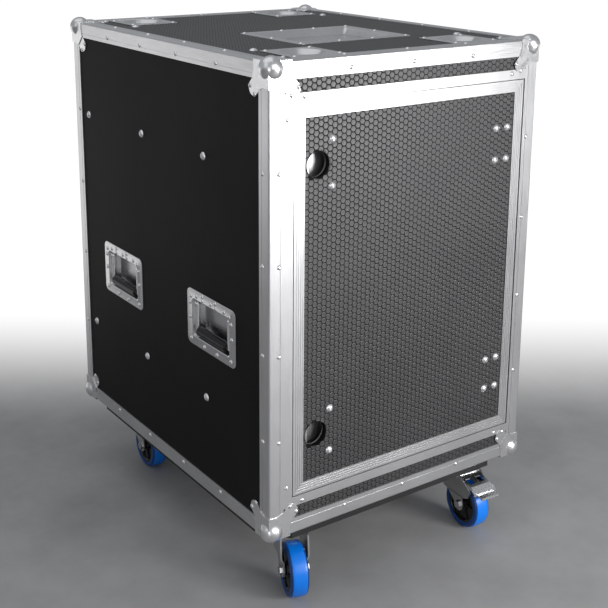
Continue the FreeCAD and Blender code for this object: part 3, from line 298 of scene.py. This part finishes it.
floor_mesh = bpy.data.meshes.new("floor")
corners = [(-FLOOR_HALF, -FLOOR_HALF, 0), (FLOOR_HALF, -FLOOR_HALF, 0), (FLOOR_HALF, FLOOR_HALF, 0),
           (-FLOOR_HALF, FLOOR_HALF, 0)]
floor_mesh.from_pydata(corners, [], [(0, 1, 2, 3)])
floor = bpy.data.objects.new("floor", floor_mesh)
bpy.context.collection.objects.link(floor)
floor_mesh.materials.append(floor_material())


# ---------------------------------------------------------------- hex embossing

HEX_PITCH = 11.0 * MM
HEX_COLUMN = HEX_PITCH * math.sqrt(3) / 2
HEX_RADIUS = HEX_PITCH / math.sqrt(3)
# Rings of one cell, from its foot to its top: share of the cell's radius, height over the board.
HEX_RINGS = ((0.90, -0.04 * MM), (0.80, 0.30 * MM), (0.62, 0.16 * MM))
HOLE_SEARCH = 40 * MM
HOLE_MARGIN = 0.3 * MM
# The fascia boards beside the doors are narrower than this and stay plain.
LEAST_EMBOSSED_WIDTH = 0.3


def cell_points(u, v):
    """The corners of one cell's rings, foot first: (u, v, height)."""
    points = []
    for share, rise in HEX_RINGS:
        radius = share * HEX_RADIUS
        for k in range(6):
            turn = math.radians(60 * k)
            points.append((u + radius * math.cos(turn), v + radius * math.sin(turn), rise))
    return points


def kept_clear(point, size, holes):
    """A cell's corner, moved onto the board and out of its holes."""
    u, v = min(max(point[0], 0.0), size[0]), min(max(point[1], 0.0), size[1])
    for hole_u, hole_v, radius in holes:
        reach = math.hypot(u - hole_u, v - hole_v)
        if reach < radius:
            u = hole_u + (u - hole_u) * radius / max(reach, 1e-9)
            v = hole_v + (v - hole_v) * radius / max(reach, 1e-9)
    return u, v, point[2]


def hex_field(name, origin, across, along, normal, size, holes, body, keep_out=()):
    """Embossed cells over a flat board.

    origin is the board's corner and size its two sides; holes are (u, v, radius), keep_out (u0, v0, u1, v1).
    """
    origin, across, along, normal = Vector(origin), Vector(across), Vector(along), Vector(normal)
    verts, faces = [], []
    for i in range(-1, int(size[0] / HEX_COLUMN) + 2):
        for j in range(-1, int(size[1] / HEX_PITCH) + 2):
            u = (i + 0.5) * HEX_COLUMN
            v = (j + (0.5 if i % 2 else 0.0) + 0.25) * HEX_PITCH
            points = cell_points(u, v)
            if not any(0 <= a <= size[0] and 0 <= b <= size[1] for a, b, rise in points[:6]):
                continue
            if any(u0 < u < u1 and v0 < v < v1 for u0, v0, u1, v1 in keep_out):
                continue
            if any(math.hypot(u - hole_u, v - hole_v) < radius for hole_u, hole_v, radius in holes):
                continue
            start = len(verts)
            for point in points:
                a, b, rise = kept_clear(point, size, holes)
                verts.append(origin + across * a + along * b + normal * rise)
            for k in range(6):
                n = (k + 1) % 6
                for ring in (start, start + 6):
                    faces.append((ring + k, ring + n, ring + 6 + n, ring + 6 + k))
            faces.append(tuple(range(start + 12, start + 18)))
    mesh = bpy.data.meshes.new(name)
    mesh.from_pydata(verts, [], faces)
    if across.cross(along).dot(normal) < 0:
        mesh.flip_normals()
    mesh.shade_smooth()
    mesh.materials.append(hexed)
    made = bpy.data.objects.new(name, mesh)
    bpy.context.collection.objects.link(made)
    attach(made, body)


def islands(node):
    """The boxes of a CAD node's separate solids, from left to right, then from the top and from the rear."""
    work = bmesh.new()
    work.from_mesh(nodes[node].data)
    bmesh.ops.remove_doubles(work, verts=work.verts, dist=1e-6)
    left = set(work.verts)
    boxes = []
    while left:
        seed = left.pop()
        stack, group = [seed], [seed]
        while stack:
            for edge in stack.pop().link_edges:
                for other in edge.verts:
                    if other in left:
                        left.remove(other)
                        stack.append(other)
                        group.append(other)
        low = Vector([min(v.co[k] for v in group) for k in range(3)])
        high = Vector([max(v.co[k] for v in group) for k in range(3)])
        boxes.append((low, high))
    work.free()

    def order(box):
        low, high = box
        return [round(k, 4) for k in ((low.x + high.x) / 2, -low.z, -low.y)]

    return sorted(boxes, key=order)


def hole_in(node, near, reach):
    """Centre and radius of the round hole in a board nearest to a place, from the board's own mesh."""
    close = [v.co for v in nodes[node].data.vertices if math.hypot(v.co.x - near.x, v.co.z - near.z) < reach]
    low_x, high_x = min(c.x for c in close), max(c.x for c in close)
    low_z, high_z = min(c.z for c in close), max(c.z for c in close)
    return (low_x + high_x) / 2, (low_z + high_z) / 2, (high_x - low_x) / 2


def outer_corner(low, high, sign):
    """Lower left corner of an upright board's outer face: sign is -1 at the front and 1 at the rear."""
    return Vector((low.x, low.y, low.z)) if sign < 0 else Vector((high.x, high.y, low.z))


def emboss_upright(name, low, high, sign, holes, body):
    hex_field(name, outer_corner(low, high, sign), (-sign, 0, 0), (0, 0, 1), (0, sign, 0),
              (high.x - low.x, high.z - low.z), holes, body)


for side, sign in (("front", -1), ("rear", 1)):
    board_node = "door_panel_" + side
    low, high = (Vector(c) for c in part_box(board_node))
    start = outer_corner(low, high, sign)
    holes = []
    for height in ("upper", "lower"):
        box_low, box_high = (Vector(c) for c in openings["finger_hole_" + height + "_" + side]["box_m"])
        hole_x, hole_z, radius = hole_in(board_node, (box_low + box_high) / 2, HOLE_SEARCH)
        holes.append(((hole_x - start.x) * -sign, hole_z - start.z, radius + HOLE_MARGIN))
    emboss_upright("hex_emboss_door_" + side, low, high, sign, holes, "door_" + side)

for number, (low, high) in enumerate(islands("fascia_boards")):
    if high.x - low.x < LEAST_EMBOSSED_WIDTH:
        continue
    emboss_upright("hex_emboss_fascia_%d" % number, low, high, -1 if low.y < 0 else 1, (), "case")

low, high = (Vector(c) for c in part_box("panel_top"))
cut_outs = []
for dish_low, dish_high in islands("top_dishes"):
    cut_outs.append((dish_low.x - low.x, dish_low.y - low.y, dish_high.x - low.x, dish_high.y - low.y))
hex_field("hex_emboss_top", (low.x, low.y, high.z), (1, 0, 0), (0, 1, 0), (0, 0, 1),
          (high.x - low.x, high.y - low.y), (), "case", cut_outs)

# ---------------------------------------------------------------- pressed dishes, in millimetres

def loop(half_u, half_v, corner, shift=0.0, steps=8):
    """Points round a rectangle with rounded corners, the same number for any size."""
    points = []
    for turn, side_u, side_v in ((0, 1, 1), (90, -1, 1), (180, -1, -1), (270, 1, -1)):
        for i in range(steps + 1):
            angle = math.radians(turn + 90 * i / steps)
            points.append((side_u * (half_u - corner) + corner * math.cos(angle),
                           side_v * (half_v - corner) + corner * math.sin(angle) + shift))
    return points


def add_pressing(work, rings, place):
    """Adds a dish to a bmesh: rings are (half_u, half_v, corner, shift, height) from the rim to the floor."""
    loops = []
    for half_u, half_v, corner, shift, height in rings:
        loops.append([work.verts.new(place(u * MM, v * MM, height * MM))
                      for u, v in loop(half_u, half_v, corner, shift)])
    for outer, inner in zip(loops, loops[1:]):
        for i in range(len(outer)):
            n = (i + 1) % len(outer)
            work.faces.new((outer[i], outer[n], inner[n], inner[i]))
    work.faces.new(loops[-1])


SHARP_FROM = math.radians(35)


def finished(name, work, materials, body, node):
    """Turns a bmesh into a piece that rides a body and stands for a CAD node."""
    bmesh.ops.recalc_face_normals(work, faces=work.faces)
    mesh = bpy.data.meshes.new(name)
    work.to_mesh(mesh)
    work.free()
    for made in materials:
        mesh.materials.append(made)
    mesh.shade_smooth()
    mesh.set_sharp_from_angle(angle=SHARP_FROM)
    piece = bpy.data.objects.new(name, mesh)
    bpy.context.collection.objects.link(piece)
    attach(piece, body)
    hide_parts(node)


def thicken(work, sheet):
    """Gives an open pressing a back, so that it is a closed sheet."""
    bmesh.ops.recalc_face_normals(work, faces=work.faces)
    bmesh.ops.solidify(work, geom=list(work.faces), thickness=sheet)


# Rings of a pressing, rim to floor: half width, half height, corner, shift, height over the board.
HANDLE_RINGS = (
    (85.0, 54.2, 12.0, 0.0, -1.4), (85.0, 54.2, 12.0, 0.0, -0.6), (84.4, 53.6, 11.5, 0.0, -0.1),
    (83.4, 52.6, 11.0, 0.0, 0.0), (67.5, 39.3, 7.5, 0.0, 0.0), (66.4, 38.3, 7.0, 0.0, 0.5),
    (65.2, 37.2, 6.5, 0.0, 0.5), (63.8, 35.9, 6.0, 0.0, -0.5), (63.2, 35.3, 6.0, 0.0, -2.5),
    (56.4, 31.6, 8.0, -3.7, -19.0), (55.0, 30.4, 8.5, -4.2, -21.6), (52.4, 28.0, 8.0, -4.4, -22.4),
    (48.0, 24.0, 7.0, -4.5, -22.5))
HANDLE_SHEET = 1.2 * MM
STUDS = ((-38, 28.0), (-31, 29.5), (6, 29.5), (11, 27.5), (17, 29.5), (22, 27.5))
STUD_RADIUS, STUD_RISE = 1.7, 1.2
STUD_RINGS = ((1.0, -0.6), (0.92, 0.5), (0.5, 1.0))
LUG_NEAR, LUG_FAR = 59.4, 62.0
LUG_HALF, LUG_TOP, LUG_FOOT = 7.0, 4.0, -16.5
LUG_SHOULDER = 0.6
LUG_BORE, LUG_WALL = 4.1, 0.3
BAIL_UP, BAIL_DEPTH = 26.8, -6.5


def lug_reach(cos, sin):
    """From the bore's axis to the lug's outline: square below, with cut shoulders above."""
    to_side = LUG_HALF / max(abs(cos), 1e-6)
    to_end = (LUG_TOP if sin > 0 else -LUG_FOOT) / max(abs(sin), 1e-6)
    reach = min(to_side, to_end)
    if sin > 0:
        reach = min(reach, LUG_HALF + LUG_SHOULDER)
    return max(reach, LUG_BORE + LUG_WALL)


def add_lug(work, place, side):
    """A bearing lug for one end of the bail, with its bore."""
    steps = 32
    sections = []
    for across in (LUG_NEAR, LUG_FAR):
        for bored in (False, True):
            section = []
            for i in range(steps):
                angle = 2 * math.pi * i / steps
                cos, sin = math.cos(angle), math.sin(angle)
                reach = LUG_BORE if bored else lug_reach(cos, sin)
                section.append(work.verts.new(place(side * across * MM, (BAIL_UP + reach * cos) * MM,
                                                    (BAIL_DEPTH + reach * sin) * MM)))
            sections.append(section)
    outer_near, bore_near, outer_far, bore_far = sections
    for a, b in ((outer_near, outer_far), (bore_far, bore_near), (bore_near, outer_near),
                 (outer_far, bore_far)):
        for i in range(steps):
            n = (i + 1) % steps
            work.faces.new((a[i], a[n], b[n], b[i]))


def add_stud(work, place, u, v, depth):
    """A small domed spring pin on the sloping upper wall."""
    steps = 12
    turns = [2 * math.pi * i / steps for i in range(steps)]
    rings = []
    for share, rise in STUD_RINGS:
        radius = STUD_RADIUS * share
        rings.append([work.verts.new(place((u + radius * math.cos(turn)) * MM,
                                           (v + radius * math.sin(turn)) * MM,
                                           (depth + STUD_RISE * rise) * MM)) for turn in turns])
    for outer, inner in zip(rings, rings[1:]):
        for i in range(steps):
            n = (i + 1) % steps
            work.faces.new((outer[i], outer[n], inner[n], inner[i]))
    work.faces.new(rings[-1])
    work.faces.new(rings[0][::-1])


def upper_wall_depth(v):
    """Depth of the upper wall at a height, between its top and foot rings."""
    top, foot = HANDLE_RINGS[8], HANDLE_RINGS[9]
    top_v, foot_v = top[1] + top[3], foot[1] + foot[3]
    return top[4] + (top_v - v) / (top_v - foot_v) * (foot[4] - top[4])


for side, sign in (("left", -1), ("right", 1)):
    for end in ("front", "rear"):
        node = "handle_dish_%s_%s" % (side, end)
        low, high = (Vector(c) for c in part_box(node))
        face = low.x if sign < 0 else high.x
        middle = (low + high) / 2

        def on_side(u, v, w, face=face, middle=middle, sign=sign):
            return (face + sign * w, middle.y - u, middle.z + v)

        work = bmesh.new()
        add_pressing(work, HANDLE_RINGS, on_side)
        thicken(work, HANDLE_SHEET)
        for lug_side in (-1, 1):
            add_lug(work, on_side, lug_side)
        for u, v in STUDS:
            add_stud(work, on_side, u, v, upper_wall_depth(v))
        finished("pressed_" + node, work, [pressed_zinc], "case", node)

LABEL_RINGS = (
    (131.0, 104.0, 12.0, 0.0, -1.1), (131.0, 104.0, 12.0, 0.0, -0.4), (130.4, 103.4, 11.5, 0.0, 0.0),
    (114.0, 86.0, 8.0, 0.0, 0.0), (112.6, 84.6, 7.5, 0.0, 0.3), (111.2, 83.2, 7.0, 0.0, -0.2),
    (110.2, 82.2, 7.0, 0.0, -1.6), (100.6, 72.6, 6.0, 0.0, -12.0), (99.0, 71.0, 6.0, 0.0, -12.7),
    (96.0, 68.0, 5.0, 0.0, -12.8))
STACK_RINGS = (
    (54.0, 52.5, 4.0, 0.0, -1.1), (54.0, 52.5, 4.0, 0.0, -0.3), (53.6, 52.1, 3.7, 0.0, 0.0),
    (43.0, 43.0, 43.0, 0.0, 0.0), (41.6, 41.6, 41.6, 0.0, 0.4), (40.0, 40.0, 40.0, 0.0, 0.3),
    (38.8, 38.8, 38.8, 0.0, -0.7), (32.4, 32.4, 32.4, 0.0, -10.6), (30.6, 30.6, 30.6, 0.0, -11.7),
    (27.0, 27.0, 27.0, 0.0, -11.8))
DISH_SHEET = 1.0 * MM
LABEL_LEAST_WIDTH = 0.2

work = bmesh.new()
for low, high in islands("top_dishes"):
    middle = (low + high) / 2

    def on_top(u, v, w, middle=middle, level=high.z):
        return (middle.x + u, middle.y + v, level + w)

    add_pressing(work, LABEL_RINGS if high.x - low.x > LABEL_LEAST_WIDTH else STACK_RINGS, on_top)
thicken(work, DISH_SHEET)
finished("pressed_top_dishes", work, [pressed_zinc], "case", "top_dishes")


# ---------------------------------------------------------------- wheels

# Outlines of one half of a wheel: distance from the axle, offset along it, in millimetres.
TYRE_OUTLINE = ((39.1, -16.6), (40.0, -17.0), (44.5, -17.0), (45.2, -16.5), (46.4, -16.5), (48.2, -15.2),
                (49.3, -13.2), (49.8, -9.0), (50.0, 0.0))
CORE_OUTLINE = ((39.0, -16.0), (35.2, -16.0), (34.2, -15.2), (33.0, -11.4), (15.6, -11.0), (14.4, -15.4),
                (13.6, -16.0), (11.0, -16.4), (10.8, -19.4), (10.2, -19.6), (5.1, -19.6))
# Faces further than this along the axle from the wheel's middle get the tyre's painted side shade.
SIDE_SHADE_FROM = 14.0 * MM
RIBS = 6
RIB_REACH = (13.0, 34.0)
RIB_HALF = (2.2, 1.2)
RIB_LEVELS = (10.5, 14.6)


def add_turned(work, outline, centre, axis):
    """Adds a ring turned about an axis: the outline is one half and is mirrored to close it."""
    steps = 96
    whole = list(outline) + [(r, -o) for r, o in reversed(outline) if o]
    first = axis.cross(Vector((0, 0, 1))).normalized()
    second = axis.cross(first)
    columns = []
    for i in range(steps):
        turn = 2 * math.pi * i / steps
        out = first * math.cos(turn) + second * math.sin(turn)
        columns.append([work.verts.new(centre + out * r * MM + axis * o * MM) for r, o in whole])
    for i in range(steps):
        a, b = columns[i], columns[(i + 1) % steps]
        for k in range(len(whole)):
            n = (k + 1) % len(whole)
            work.faces.new((a[k], a[n], b[n], b[k]))
    return first, second


def add_ribs(work, centre, axis, first, second):
    """Tapered ribs between hub and rim, in the hollow of each face of the wheel."""
    for side in (-1, 1):
        for i in range(RIBS):
            turn = 2 * math.pi * i / RIBS
            out = first * math.cos(turn) + second * math.sin(turn)
            across = out.cross(axis)
            rows = []
            for reach in RIB_REACH:
                row = []
                for half, level in zip(RIB_HALF, RIB_LEVELS):
                    for edge in (-1, 1):
                        offset = out * reach + across * (edge * half) + axis * (side * level)
                        row.append(work.verts.new(centre + offset * MM))
                rows.append(row)
            (a, b, c, d), (e, f, g, h) = rows
            for face in ((a, b, f, e), (c, g, h, d), (a, e, g, c), (b, d, h, f), (a, c, d, b), (e, f, h, g)):
                work.faces.new(face)


for joint in frame["joints"]:
    if not joint["name"].startswith("wheel_spin_"):
        continue
    place = joint["name"][len("wheel_spin_"):]
    centre, axis = Vector(joint["pos_m"]), Vector(joint["axis"]).normalized()
    work = bmesh.new()
    add_turned(work, TYRE_OUTLINE, centre, axis)
    # Painted shade: faces out towards the sides of the tyre take the darker copy of its blue.
    for face in work.faces:
        face.material_index = 1 if abs((face.calc_center_median() - centre).dot(axis)) > SIDE_SHADE_FROM else 0
    finished("moulded_tyre_" + place, work, [tyre_blue, tyre_side_shade], joint["child"],
             "wheel_tyre_" + place)
    work = bmesh.new()
    first, second = add_turned(work, CORE_OUTLINE, centre, axis)
    add_ribs(work, centre, axis, first, second)
    finished("moulded_core_" + place, work, [core_black], joint["child"], "wheel_core_" + place)
